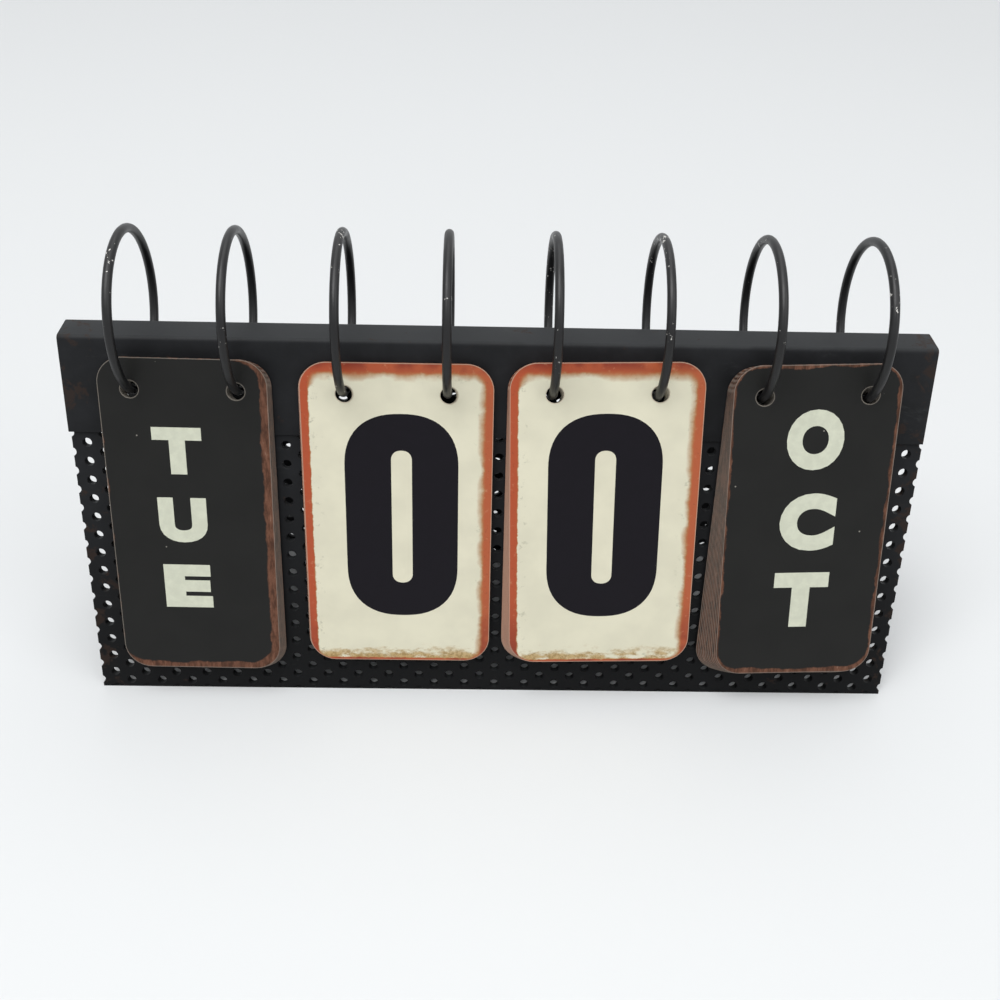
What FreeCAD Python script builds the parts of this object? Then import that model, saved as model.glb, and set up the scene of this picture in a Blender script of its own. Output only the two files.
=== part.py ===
import FreeCAD, Part
import math
import os
import Sketcher

# Perpetual desk calendar: four packs of punched cards that turn over wire rings
# threaded through the sheet steel cap of a tent-shaped stand with perforated screens.
# Frame: +Z up, -Y to the front, X along the stand. The pieces are laid out about the middle of
# the stand; the origin then moves to the table under the middle of the calendar's whole depth.

doc = FreeCAD.newDocument("desk_calendar")
sheet = doc.addObject("Spreadsheet::Sheet", "sizes")

SIZES = (
    # stand
    ("stand_width", 267.0),
    ("stand_height", 118.4),
    ("top_depth", 10.7),
    ("lean_angle", 15.4),
    ("skirt_length", 30.5),
    ("cap_thickness", 0.9),
    ("bend_radius", 1.6),
    # perforated screens
    ("screen_end_inset", 0.2),
    ("screen_shift", 0.3),
    ("screen_thickness", 0.9),
    ("screen_top_gap", 0.6),
    ("hole_radius", 1.5),
    ("hole_column_pitch", 5.15),
    ("hole_row_pitch", 6.35),
    ("hole_foot_margin", 4.0),
    # wire rings
    ("ring_radius", 24.1),
    ("wire_radius", 1.4),
    ("ring_end_margin", 21.5),
    ("ring_setback", 3.0),
    ("ring_rise", 4.7),
    ("ring_play", 0.3),
    # cards
    ("card_thickness", 0.45),
    ("card_step", 0.55),
    ("card_gap", 0.6),
    ("card_corner_radius", 8.5),
    ("punch_radius", 2.7),
    ("punch_setback", 10.0),
    ("plate_width", 51.2),
    ("plate_height", 106.6),
    ("number_width", 59.4),
    ("number_height", 103.0),
    # how far the packs lie out of line and hang, within the play of their punched holes
    ("weekday_hang", 0.4),
    ("weekday_rear_shift", 0.7),
    ("weekday_front_tilt", -0.5),
    ("tens_hang", 0.5),
    ("tens_front_shift", 0.5),
    ("ones_front_shift", 0.5),
    ("ones_front_tilt", 1.3),
    ("month_hang", -0.05),
    ("month_rear_shift", -0.6),
    ("month_rear_tilt", -1.0),
    ("month_front_tilt", 2.0),
    # one overrun serves every cut
    ("cut_overrun", 2.0),
)
# Counts: flats of each faceted round, rings, and openings along and up the rear screen
RING_FLATS = 24
WIRE_FLATS = 8
PUNCH_FLATS = 8
SCREEN_FLATS = 6
RINGS = 8
GRID_COLUMNS = 12
GRID_ROWS = 5

# Sizes that follow from others: the rings stand evenly between the two ends of the stand
TIED = (
    ("ring_pitch", "=(stand_width - 2 * ring_end_margin) / %d" % (RINGS - 1)),
    ("screen_width", "=stand_width - 2 * screen_end_inset"),
)
for row, (alias, value) in enumerate(SIZES + TIED, 1):
    sheet.set("A%d" % row, alias)
    sheet.set("B%d" % row, str(value))
    sheet.setAlias("B%d" % row, alias)
doc.recompute()

# Packs from left to right: name, cards, card size, ring pair, how far the holes hang below the
# wire's middle, and the sideways shift and the tilt of the rearmost and the front card
PACKS = (
    (
        "weekday_card", 7, "plate", 0,
        "weekday_hang", ("weekday_rear_shift", None), (None, "weekday_front_tilt"),
    ),
    (
        "tens_card", 4, "number", 1,
        "tens_hang", (None, "tens_front_shift"), (None, None),
    ),
    (
        "ones_card", 10, "number", 2,
        None, (None, "ones_front_shift"), (None, "ones_front_tilt"),
    ),
    (
        "month_card", 12, "plate", 3,
        "month_hang", ("month_rear_shift", None), ("month_rear_tilt", "month_front_tilt"),
    ),
)


def size(alias):
    """The value of one named size."""
    return float(sheet.get(alias))


def size_or_zero(alias):
    """A named size, or zero where a pack has none."""
    return size(alias) if alias else 0.0


def plane(body, role):
    """One of a body's own origin planes."""
    return next(f for f in body.Origin.OriginFeatures if f.Role == role)


def new_body(name):
    body = doc.addObject("PartDesign::Body", name)
    body.Label = name
    return body


def outline(body, name, role, points, offset=None):
    """A closed outline on an origin plane; every corner is held by two named distances."""
    sketch = body.newObject("Sketcher::SketchObject", name)
    sketch.AttachmentSupport = [(plane(body, role), "")]
    sketch.MapMode = "FlatFace"
    if offset is not None:
        sketch.AttachmentOffset = offset
    count = len(points)
    for index in range(count):
        turn, following = index * math.tau / count, (index + 1) * math.tau / count
        sketch.addGeometry(
            Part.LineSegment(
                FreeCAD.Vector(math.cos(turn), math.sin(turn), 0),
                FreeCAD.Vector(math.cos(following), math.sin(following), 0),
            ),
            False,
        )
    for index in range(count):
        sketch.addConstraint(Sketcher.Constraint("Coincident", index, 2, (index + 1) % count, 1))
    for index, (across, up) in enumerate(points):
        turn = index * math.tau / count
        for kind, value, formula in (
            ("DistanceX", math.cos(turn), across),
            ("DistanceY", math.sin(turn), up),
        ):
            held = sketch.addConstraint(Sketcher.Constraint(kind, -1, 1, index, 1, value))
            sketch.setExpression("Constraints[%d]" % held, formula)
    doc.recompute()
    return sketch


def round_outline(flats, radius, centre=("0", "0")):
    """Corners of a regular outline whose flats lie on the given radius."""
    half = 180 / flats
    corner = "(%s) / cos(%.9g deg)" % (radius, half)
    points = []
    for index in range(flats):
        turn = half + index * 360 / flats
        points.append(
            (
                "%s + %s * cos(%.9g deg)" % (centre[0], corner, turn),
                "%s + %s * sin(%.9g deg)" % (centre[1], corner, turn),
            )
        )
    return points


def pad(body, name, sketch, length):
    feature = body.newObject("PartDesign::Pad", name)
    feature.Profile = sketch
    feature.setExpression("Length", length)
    feature.SideType = "Symmetric"
    body.Tip = feature
    doc.recompute()
    return feature


def drill(body, name, flats, radius, depth, place):
    """A faceted hole that starts at a place in the body and runs along that place's own Z."""
    feature = body.newObject("PartDesign::SubtractivePrism", name)
    feature.Polygon = flats
    feature.setExpression("Circumradius", "(%s) / cos(%.9g deg)" % (radius, 180 / flats))
    feature.setExpression("Height", depth)
    feature.AttachmentSupport = [(plane(body, "XY_Plane"), "")]
    feature.MapMode = "FlatFace"
    feature.AttachmentOffset = place
    body.Tip = feature
    doc.recompute()
    return feature


def row_of(body, name, feature, axis, length, count, back=False):
    """Even copies of a feature along one of the body's own axes."""
    pattern = body.newObject("PartDesign::LinearPattern", name)
    pattern.Originals = [feature]
    pattern.Direction = (plane(body, axis), [""])
    pattern.Reversed = back
    pattern.setExpression("Length", length)
    pattern.Occurrences = count
    body.Tip = pattern
    doc.recompute()
    return pattern


def turned(axis, degrees):
    return FreeCAD.Rotation(FreeCAD.Vector(*axis), degrees)


X_AXIS, Y_AXIS, Z_AXIS = (1, 0, 0), (0, 1, 0), (0, 0, 1)
LEAN = math.radians(size("lean_angle"))


# Side view of the front half: a point lies "down" the skirt from the top edge and "out"
# from the skirt's face, and becomes a pair (y, z)
def on_skirt(down, out):
    return (
        -size("top_depth") / 2 - down * math.sin(LEAN) - out * math.cos(LEAN),
        size("stand_height") - down * math.cos(LEAN) + out * math.sin(LEAN),
    )


def ring_centre(side=1):
    """Centre of the rings in that view, for the front or, with side -1, the rear half."""
    return size("ring_setback") * side, size("stand_height") + size("ring_rise")


def wire_drop(out, side=1):
    """How far down the wire crosses a plane that lies out from the skirt."""
    y, z = on_skirt(0, out)
    y, z = y - ring_centre(side)[0], z - ring_centre(side)[1]
    along = y * math.sin(LEAN) + z * math.cos(LEAN)
    return along + math.sqrt(along**2 - y**2 - z**2 + size("ring_radius") ** 2)


def wire_slant(out, side=1):
    """Angle between the wire and the square line through that plane, where it crosses."""
    y, z = on_skirt(wire_drop(out, side), out)
    y, z = y - ring_centre(side)[0], z - ring_centre(side)[1]
    return math.acos(abs(z * math.cos(LEAN) + y * math.sin(LEAN)) / math.hypot(y, z))


def long_edges(shape, height):
    """Names of the edges along X at a height."""
    return [
        "Edge%d" % number
        for number, edge in enumerate(shape.Edges, 1)
        if abs(edge.Vertexes[0].Z - height) < Part.Precision.confusion() * 10
        and abs(edge.Vertexes[-1].Z - height) < Part.Precision.confusion() * 10
        and edge.Vertexes[0].X != edge.Vertexes[-1].X
    ]


def edges_through(shape):
    """Names of the straight edges that run square through a flat card."""
    names = []
    for number, edge in enumerate(shape.Edges, 1):
        run = edge.Vertexes[-1].Point - edge.Vertexes[0].Point
        if abs(run.y) > abs(run.x) + abs(run.z):
            names.append("Edge%d" % number)
    return names


# The cap: one sheet bent over the screens' top edges, with two rows of holes for the rings
RING_HOLE_MIDDLE = -size("cap_thickness") / 2
FRONT_DROP = wire_drop(RING_HOLE_MIDDLE)
REAR_DROP = wire_drop(RING_HOLE_MIDDLE, -1)
RING_HOLE_DROP = (FRONT_DROP + REAR_DROP) / 2
RING_HOLE_SLANT = max(wire_slant(RING_HOLE_MIDDLE), wire_slant(RING_HOLE_MIDDLE, -1))
# the hole takes the slanting wire, in front and behind, with the ring set back from the middle
RING_HOLE_RADIUS = (
    "sizes.wire_radius / cos(%.9g deg) / cos(%.9g deg)" % (180 / WIRE_FLATS, math.degrees(RING_HOLE_SLANT))
    + " + sizes.cap_thickness / 2 * tan(%.9g deg)" % math.degrees(RING_HOLE_SLANT)
    + " + %.9g + sizes.ring_play" % (abs(REAR_DROP - FRONT_DROP) / 2)
)
FIRST_RING = -size("ring_pitch") * (RINGS - 1) / 2


def make_cap():
    body = new_body("cap")
    foot_half = "sizes.top_depth / 2 + sizes.skirt_length * sin(sizes.lean_angle * 1 deg)"
    foot_level = "sizes.stand_height - sizes.skirt_length * cos(sizes.lean_angle * 1 deg)"
    section = outline(
        body,
        "CapSection",
        "YZ_Plane",
        [
            ("-sizes.top_depth / 2", "sizes.stand_height"),
            ("sizes.top_depth / 2", "sizes.stand_height"),
            (foot_half, foot_level),
            ("-(%s)" % foot_half, foot_level),
        ],
    )
    block = pad(body, "CapBlock", section, "sizes.stand_width")
    bends = body.newObject("PartDesign::Fillet", "CapBends")
    bends.Base = (block, long_edges(block.Shape, size("stand_height")))
    bends.setExpression("Radius", "sizes.bend_radius")
    doc.recompute()
    opened = []
    for number, face in enumerate(bends.Shape.Faces, 1):
        normal = face.normalAt(0, 0)
        if abs(normal.x) > 1 / 2 or normal.z < -1 / 2:
            opened.append("Face%d" % number)
    shell = body.newObject("PartDesign::Thickness", "CapSheet")
    shell.Base = (bends, opened)
    shell.setExpression("Value", "sizes.cap_thickness")
    shell.Reversed = True
    body.Tip = shell
    doc.recompute()
    inside = size("cap_thickness") + size("cut_overrun")
    for name, side in (("FrontRingHole", 1), ("RearRingHole", -1)):
        y, z = on_skirt(RING_HOLE_DROP, -inside)
        start = FreeCAD.Placement(
            FreeCAD.Vector(FIRST_RING, y * side, z),
            turned(X_AXIS, side * (90 - size("lean_angle"))),
        )
        hole = drill(
            body,
            name,
            PUNCH_FLATS,
            RING_HOLE_RADIUS,
            "sizes.cap_thickness + 2 * sizes.cut_overrun",
            start,
        )
        row_of(body, name + "s", hole, "X_Axis", "sizes.ring_pitch * %d" % (RINGS - 1), RINGS)
    return body


# The screens: two perforated sheets, tucked up behind the skirts and flat on the table
SCREEN_TOP = (
    RING_HOLE_DROP
    + size("wire_radius") / math.cos(math.pi / WIRE_FLATS) / math.cos(RING_HOLE_SLANT)
    + abs(REAR_DROP - FRONT_DROP) / 2
    + size("ring_play")
    + size("screen_top_gap")
)
SCREEN_CORNER = on_skirt(SCREEN_TOP, -size("cap_thickness"))


FIRST_ROW = size("skirt_length") + size("hole_radius") / 3
LAST_ROW = size("stand_height") / math.cos(LEAN) - size("hole_foot_margin")
# columns of holes are counted from the middle: the last one lies at the sheet's edge, and one
# shows between each two packs
EDGE_COLUMN = round(size("stand_width") / 2 / size("hole_column_pitch"))
GAP_COLUMN = math.ceil(2 * size("ring_pitch") / size("hole_column_pitch"))
OPEN_COLUMNS = (
    [-GAP_COLUMN, 0, GAP_COLUMN]
    + list(range(-EDGE_COLUMN, -EDGE_COLUMN + 3))
    + list(range(EDGE_COLUMN - 2, EDGE_COLUMN + 1))
)


def closed(corners):
    """The sides of one opening, from its corners (across the sheet, down from the top edge)."""
    points = [FreeCAD.Vector(across, SCREEN_TOP - down, 0) for across, down in corners]
    return [Part.LineSegment(points[turn - 1], points[turn]) for turn in range(len(points))]


def hole_field():
    """The front screen's holes where the packs leave them in view, each second column lower."""
    corner = size("hole_radius") / math.cos(math.pi / SCREEN_FLATS)
    sides = []
    for column in OPEN_COLUMNS:
        across = column * size("hole_column_pitch")
        down = FIRST_ROW
        if column % 2 != EDGE_COLUMN % 2:
            down += size("hole_row_pitch") / 2
        while down < LAST_ROW:
            sides += closed(
                (
                    across + corner * math.cos(math.tau * turn / SCREEN_FLATS),
                    down - corner * math.sin(math.tau * turn / SCREEN_FLATS),
                )
                for turn in range(SCREEN_FLATS)
            )
            down += size("hole_row_pitch")
    return sides


def hole_grid():
    """The rear screen's perforation as a plain grid with the same share of open sheet."""
    open_share = math.pi * size("hole_radius") ** 2 / size("hole_column_pitch") / size("hole_row_pitch")
    wide = size("screen_width") / GRID_COLUMNS
    tall = (LAST_ROW - FIRST_ROW) / GRID_ROWS
    half_wide, half_tall = wide * math.sqrt(open_share) / 2, tall * math.sqrt(open_share) / 2
    sides = []
    for column in range(GRID_COLUMNS):
        across = (column + 1 / 2) * wide - size("screen_width") / 2
        for row in range(GRID_ROWS):
            down = FIRST_ROW + (row + 1 / 2) * tall
            sides += closed(
                (
                    (across - half_wide, down - half_tall),
                    (across + half_wide, down - half_tall),
                    (across + half_wide, down + half_tall),
                    (across - half_wide, down + half_tall),
                )
            )
    return sides


def make_screen(name, rear):
    """A flat sheet in its own frame: top front edge on the X axis, Z up the sheet, Y through it."""
    body = new_body(name)
    front_length = SCREEN_CORNER[1] / math.cos(LEAN)
    foot_slope = "sizes.screen_thickness * tan(sizes.lean_angle * 1 deg)"
    section = outline(
        body,
        name + "_section",
        "YZ_Plane",
        [
            ("0", "0"),
            ("sizes.screen_thickness", "0"),
            ("sizes.screen_thickness", "-%.9g + %s" % (front_length, foot_slope)),
            ("0", "-%.9g" % front_length),
        ],
    )
    pad(body, name + "_sheet", section, "sizes.screen_width")
    holes = body.newObject("Sketcher::SketchObject", name + "_holes")
    holes.AttachmentSupport = [(plane(body, "XZ_Plane"), "")]
    holes.MapMode = "FlatFace"
    holes.addGeometry(hole_grid() if rear else hole_field(), False)
    doc.recompute()
    cut = body.newObject("PartDesign::Pocket", name + "_perforation")
    cut.Profile = holes
    cut.SideType = "Symmetric"
    cut.setExpression("Length", "2 * (sizes.screen_thickness + sizes.cut_overrun)")
    cut.Refine = False
    body.Tip = cut
    doc.recompute()
    place = FreeCAD.Placement(
        FreeCAD.Vector(0, SCREEN_CORNER[0], SCREEN_CORNER[1]), turned(X_AXIS, -size("lean_angle"))
    )
    if rear:
        place = FreeCAD.Placement(FreeCAD.Vector(), turned(Z_AXIS, 180)) * place
    place.Base.x = size("screen_shift")
    body.Placement = place
    return body


def make_ring(number):
    """A closed loop of wire in an upright plane, in flats, between its corner and flat radius."""
    body = new_body("ring_%d" % number)
    corner = "sizes.ring_radius * 2 / (1 + cos(%.9g deg))" % (180 / RING_FLATS)
    flat = "%s * cos(%.9g deg)" % (corner, 180 / RING_FLATS)
    path = outline(
        body,
        "Ring%dPath" % number,
        "YZ_Plane",
        round_outline(RING_FLATS, "%s * cos(%.9g deg)" % (corner, 180 / RING_FLATS)),
    )
    wire = outline(
        body,
        "Ring%dWire" % number,
        "XY_Plane",
        round_outline(WIRE_FLATS, "sizes.wire_radius", ("0", flat)),
    )
    loop = body.newObject("PartDesign::AdditivePipe", "Ring%dLoop" % number)
    loop.Profile = wire
    loop.Spine = (path, [])
    loop.Transition = "Right corner"
    body.Tip = loop
    body.Placement = FreeCAD.Placement(
        FreeCAD.Vector(FIRST_RING + (number - 1) * size("ring_pitch"), *ring_centre()),
        FreeCAD.Rotation(),
    )
    return body


# A rounded corner is cut twice, so that its flats touch the arc of the corner radius
FIRST_CORNER_SHARE = 2 - math.sqrt(2)
SECOND_CORNER_SHARE = math.tan(math.pi / 8) - math.tan(math.pi / 16)


def make_card(name, kind):
    """A flat card in its own frame: X axis through its two punched holes, Z up the card."""
    body = new_body(name)
    half, top = "sizes.%s_width / 2" % kind, "sizes.punch_setback"
    bottom = "sizes.punch_setback - sizes.%s_height" % kind
    blank = outline(
        body,
        name + "_outline",
        "XZ_Plane",
        [(half, top), ("-" + half, top), ("-" + half, bottom), (half, bottom)],
    )
    feature = pad(body, name + "_blank", blank, "sizes.card_thickness")
    for label, share in (("_corners", FIRST_CORNER_SHARE), ("_rounding", SECOND_CORNER_SHARE)):
        cut = body.newObject("PartDesign::Chamfer", name + label)
        cut.Base = (feature, edges_through(feature.Shape))
        cut.setExpression("Size", "sizes.card_corner_radius * %.9g" % share)
        body.Tip = cut
        doc.recompute()
        feature = cut
    start = FreeCAD.Placement(
        FreeCAD.Vector(-size("ring_pitch") / 2, size("card_thickness") / 2 + size("cut_overrun"), 0),
        turned(X_AXIS, 90),
    )
    depth = "sizes.card_thickness + 2 * sizes.cut_overrun"
    punch = drill(body, name + "_punch", PUNCH_FLATS, "sizes.punch_radius", depth, start)
    row_of(body, name + "_punches", punch, "X_Axis", "sizes.ring_pitch", 2)
    return body


def make_pack(name, cards, kind, pair, hang, shifts, tilts):
    """A pack of like cards; card 1 lies against the skirt and each next card in front of it."""
    middle = FIRST_RING + size("ring_pitch") * (2 * pair + 1 / 2)
    for number in range(1, cards + 1):
        share = (number - 1) / (cards - 1)
        shift = size_or_zero(shifts[0]) * (1 - share) + size_or_zero(shifts[1]) * share
        tilt = size_or_zero(tilts[0]) * (1 - share) + size_or_zero(tilts[1]) * share
        out = size("card_gap") + size("card_thickness") / 2 + (number - 1) * size("card_step")
        y, z = on_skirt(wire_drop(out) + size_or_zero(hang), out)
        card = make_card("%s_%d" % (name, number), kind)
        card.Placement = FreeCAD.Placement(
            FreeCAD.Vector(middle + shift, y, z),
            turned(X_AXIS, -size("lean_angle")) * turned(Y_AXIS, -tilt),
        )
        bodies.append(card)


bodies = [make_cap(), make_screen("front_screen", False), make_screen("rear_screen", True)]
for ring in range(1, RINGS + 1):
    bodies.append(make_ring(ring))
for pack in PACKS:
    make_pack(*pack)
doc.recompute()

# The front cards stand out past the feet, so the middle of the depth lies a little in front
FRONT = min(body.Shape.BoundBox.YMin for body in bodies)
BACK = max(body.Shape.BoundBox.YMax for body in bodies)
for body in bodies:
    place = body.Placement
    place.Base.y -= (FRONT + BACK) / 2
    body.Placement = place
doc.recompute()

# Nothing is written unless every object is sound
for item in doc.Objects:
    if "Invalid" in item.State or "Error" in item.State:
        raise RuntimeError("%s is in error" % item.Label)
for body in bodies:
    if body.Shape.isNull() or not body.Shape.isValid() or len(body.Shape.Solids) != 1:
        raise RuntimeError("%s has no sound solid" % body.Label)

os.makedirs("parts", exist_ok=True)
for body in bodies:
    body.Shape.exportStep("parts/%s.step" % body.Label)
    print("%-16s %9.1f mm3" % (body.Label, body.Shape.Volume))
print("the stand's middle lies at y = %.4f" % (-(FRONT + BACK) / 2))
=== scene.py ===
import math

import bmesh
import bpy
from bpy.props import FloatProperty, FloatVectorProperty, PointerProperty
from bpy.types import Operator, Panel, PropertyGroup
from mathutils import Matrix, Vector


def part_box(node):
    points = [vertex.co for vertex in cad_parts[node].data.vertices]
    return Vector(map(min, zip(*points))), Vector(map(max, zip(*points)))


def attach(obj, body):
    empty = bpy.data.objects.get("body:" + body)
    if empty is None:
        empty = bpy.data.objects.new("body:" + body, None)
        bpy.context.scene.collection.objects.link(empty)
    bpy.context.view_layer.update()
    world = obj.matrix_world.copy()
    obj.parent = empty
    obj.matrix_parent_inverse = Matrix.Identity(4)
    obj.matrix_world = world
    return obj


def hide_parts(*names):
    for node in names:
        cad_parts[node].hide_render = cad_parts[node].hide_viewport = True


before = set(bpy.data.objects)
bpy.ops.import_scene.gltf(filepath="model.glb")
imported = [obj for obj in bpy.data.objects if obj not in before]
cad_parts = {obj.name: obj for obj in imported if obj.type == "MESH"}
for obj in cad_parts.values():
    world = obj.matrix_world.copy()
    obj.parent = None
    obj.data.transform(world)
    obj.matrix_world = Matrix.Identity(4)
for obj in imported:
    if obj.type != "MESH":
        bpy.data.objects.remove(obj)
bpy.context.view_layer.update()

bl_info = {
    "name": "Perpetual desk calendar",
    "version": (1, 0, 0),
    "blender": (4, 5, 0),
    "location": "View3D > Sidebar > Calendar",
    "description": "Builds a perpetual desk calendar of enamelled cards on wire rings",
    "category": "Object",
}

MM = 0.001
move = Matrix.Translation

# The stand's middle plane, which lies a little behind the middle of the whole calendar
MIDDLE_Y = sum(corner.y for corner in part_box("cap")) / 2
RINGS = 8
# the perforation's columns are counted from the middle to this one at each end
EDGE_COLUMN = 26
# facets of a ring, its wire, a perforation, a punched hole, a card's corner, a zero, a bend and so on
RING_STEPS, WIRE_STEPS, HOLE_STEPS, FACE_HOLE_STEPS = 96, 16, 16, 32
CORNER_STEPS, FIGURE_STEPS, BEND_STEPS, BEVEL_STEPS, LETTER_STEPS = 8, 14, 6, 2, 6
# points this near lie level, and points this near are one
LEVEL, WELD = 0.01 * MM, 0.02 * MM
# a share of a radius that takes in the points on it
ON_RADIUS = 1.05
# the punched collars narrow to the first share, and sink by the second share of their length
COLLAR_TAPER, COLLAR_SINK = 0.94, 0.125
# how far the wire is drawn in at a ring's joint
JOINT_PINCH = 0.9

WEEKDAYS = ("WED", "THU", "FRI", "SAT", "SUN", "MON", "TUE")
MONTHS = ("NOV", "DEC", "JAN", "FEB", "MAR", "APR", "MAY", "JUN", "JUL", "AUG", "SEP", "OCT")
# characters printed as another one upside down, and those that take a share of the usual width
TURNED = {"9": "6", "M": "W"}
NARROW = {"1": 0.45, "I": 0.4}
# how much bolder than the built-in font the figures and letters are
FIGURE_BOLDNESS, LETTER_BOLDNESS = 0.04, 0.066
# a zero's ends are half as wide as it is, less a hair, and a little squarer than round
ZERO_END, ZERO_FULLNESS, SLOT_FULLNESS = 0.499, 0.56, 0.54


def linear(code):
    """An sRGB hex colour as the linear colour that shaders take."""
    parts = [int(code[at : at + 2], 16) / 255 for at in (1, 3, 5)]
    return tuple(c / 12.92 if c <= 0.04045 else ((c + 0.055) / 1.055) ** 2.4 for c in parts) + (1.0,)


def length(name, millimetres, description):
    return FloatProperty(name=name, description=description, default=millimetres * MM, unit="LENGTH")


def colour(name, code, description):
    return FloatVectorProperty(
        name=name, description=description, default=linear(code), size=4, min=0, max=1, subtype="COLOR"
    )


# the pale backdrop, its strength to the eye, and the strength of the fill light that it gives
BACKDROP, BACKDROP_STRENGTH, FILL_STRENGTH = linear("#F3F5F7"), 0.9, 0.3
# the table top, in metres: its side, and where it begins to run into the backdrop and has done so
FLOOR_SIDE, FADE_START, FADE_END = 6, 0.7, 1.8
# and how rough it is, and what share of its colour it throws back at the stand
FLOOR_ROUGHNESS, FLOOR_BOUNCE = 0.6, 0.3
# the lamps: name, power in watts, side of the square, place and aim in metres
LAMPS = (
    ("key", 62.0, 2.0, (-0.6, -0.9, 2.4), (0, 0, 0.05)),
    ("fill", 12.0, 1.6, (1.4, -0.9, 1.5), (0, 0, 0.05)),
    ("back", 20.0, 2.2, (0.2, 1.2, 2.6), (0, 0.3, 0.05)),
)


class CalendarSizes(PropertyGroup):
    """Real sizes of the calendar."""

    stand_width: length("Stand width", 267.0, "Length of the cap")
    stand_height: length("Stand height", 118.4, "Height of the cap's top over the table")
    top_depth: length("Top depth", 10.7, "Depth of the cap's flat top")
    lean: FloatProperty(
        name="Lean", description="Lean of the two sides", default=math.radians(15.4), subtype="ANGLE"
    )
    skirt_length: length("Skirt length", 30.5, "Length of each skirt of the cap")
    sheet: length("Sheet", 0.9, "Thickness of the stand's sheet steel")
    bend_radius: length("Bend radius", 1.6, "Outer radius of the cap's bends")
    ring_hole_radius: length("Ring hole radius", 3.23, "Radius of the skirts' holes for the rings")
    ring_hole_drop: length("Ring hole drop", 17.72, "Down the skirt to those holes")
    plain_strip: length("Plain strip", 1.2, "Strip above the cap's row of holes")
    cap_edge: length("Cap edge", 0.12, "Bevel of the cap's sheared edges")
    screen_inset: length("Screen inset", 0.2, "What the sheets lack at each end")
    screen_shift: length("Screen shift", 0.3, "How far the sheets lie to the right")
    screen_top: length("Screen top", 21.4, "Down the skirt to the sheets' top edge")
    hole_radius: length("Perforation radius", 1.5, "Radius of the perforations")
    burr: length("Burr", 1.8, "Depth of the front holes' punched collars")
    first_row_gap: length("First row", 0.5, "From the skirt to the first row of holes")
    rear_row_shift: length("Rear row shift", 2.0, "How much lower the rear holes lie")
    column_pitch: length("Column pitch", 5.15, "Distance between columns of perforations")
    row_pitch: length("Row pitch", 6.35, "Distance between perforations in a column")
    ring_radius: length("Ring radius", 24.1, "Mean radius of the rings")
    wire_radius: length("Wire radius", 1.4, "Radius of the rings' wire")
    ring_joint: length("Ring joint", 0.3, "Half the width of a butt joint")
    ring_pitch: length("Ring pitch", 32.0, "Distance between rings")
    ring_setback: length("Ring setback", 3.0, "From the middle back to the rings' centres")
    ring_rise: length("Ring rise", 4.7, "From the cap up to the rings' centres")
    card_sheet: length("Card sheet", 0.45, "Thickness of a card")
    card_edge: length("Card edge", 0.08, "Bevel of the cards' cut edges")
    card_step: length("Card step", 0.55, "Distance from card to card in a pack")
    card_gap: length("Card gap", 0.6, "From the skirt to the rearmost card")
    corner_radius: length("Corner radius", 8.5, "Radius of the cards' corners")
    punch_radius: length("Punch radius", 2.7, "Radius of the cards' punched holes")
    punch_setback: length("Punch setback", 10.0, "From a card's top edge to its holes")
    plate_width: length("Plate width", 51.2, "Width of the black plates")
    plate_height: length("Plate height", 106.6, "Height of the black plates")
    number_width: length("Number width", 59.4, "Width of the number cards")
    number_height: length("Number height", 103.0, "Height of the number cards")
    figure_width: length("Figure width", 34.0, "Width of the figures")
    figure_height: length("Figure height", 69.0, "Height of the figures")
    figure_drop: length("Figure drop", 41.0, "From the holes to the figures' middle")
    zero_width: length("Zero width", 35.6, "Width of a zero")
    zero_height: length("Zero height", 69.8, "Height of a zero")
    slot_width: length("Slot width", 6.5, "Width of a zero's slot")
    slot_height: length("Slot height", 45.8, "Height of a zero's slot")
    paint_thickness: length("Paint", 0.03, "Thickness of the printed ink")


class CalendarColours(PropertyGroup):
    """Colours of the calendar's finishes."""

    stand_paint: colour("Stand paint", "#202123", "Black paint on the stand")
    stand_rust: colour("Rust", "#382C26", "Brown rust that shows through the paint")
    # also the greyer film on the stand's top: dust and painted light
    stand_scuff_and_top_light: colour("Scuff", "#3B3D3E", "Grey scuffs and dust on the paint")
    wire_paint: colour("Wire lacquer", "#141415", "Black lacquer on the rings")
    wire_steel: colour("Bare wire", "#C9C7C2", "Steel where the lacquer has chipped")
    plate_lacquer: colour("Plate lacquer", "#1F1F1E", "Black lacquer on the weekday and month plates")
    plate_wear: colour("Plate wear", "#75503F", "Worn brown borders of those plates")
    cream: colour("Cream", "#EAE6CE", "Cream enamel of the number cards")
    border: colour("Border", "#B4512F", "Brick-red borders of the number cards")
    ochre: colour("Ochre", "#BB9650", "Ochre stains beside the borders")
    figure: colour("Figure", "#0F0C13", "Printed figures")
    letter: colour("Letter", "#DDE0CC", "Printed letters")
    floor: colour("Floor", "#D9DBDC", "Table top")


def sizes():
    return bpy.context.scene.calendar_sizes


def colours():
    return bpy.context.scene.calendar_colours


# Geometry of the side view, in the frame: a point lies down the skirt and out from its face
def on_skirt(down, out):
    s = sizes()
    return (
        MIDDLE_Y - s.top_depth / 2 - down * math.sin(s.lean) - out * math.cos(s.lean),
        s.stand_height - down * math.cos(s.lean) + out * math.sin(s.lean),
    )


def ring_centre():
    s = sizes()
    return MIDDLE_Y + s.ring_setback, s.stand_height + s.ring_rise


def wire_drop(out):
    """How far down the skirt the wire crosses a plane that lies out from it."""
    s = sizes()
    y, z = on_skirt(0, out)
    y, z = y - ring_centre()[0], z - ring_centre()[1]
    along = y * math.sin(s.lean) + z * math.cos(s.lean)
    return along + math.sqrt(along**2 - y**2 - z**2 + s.ring_radius**2)


def ring_x(number):
    return (number - (RINGS - 1) / 2) * sizes().ring_pitch


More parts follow.
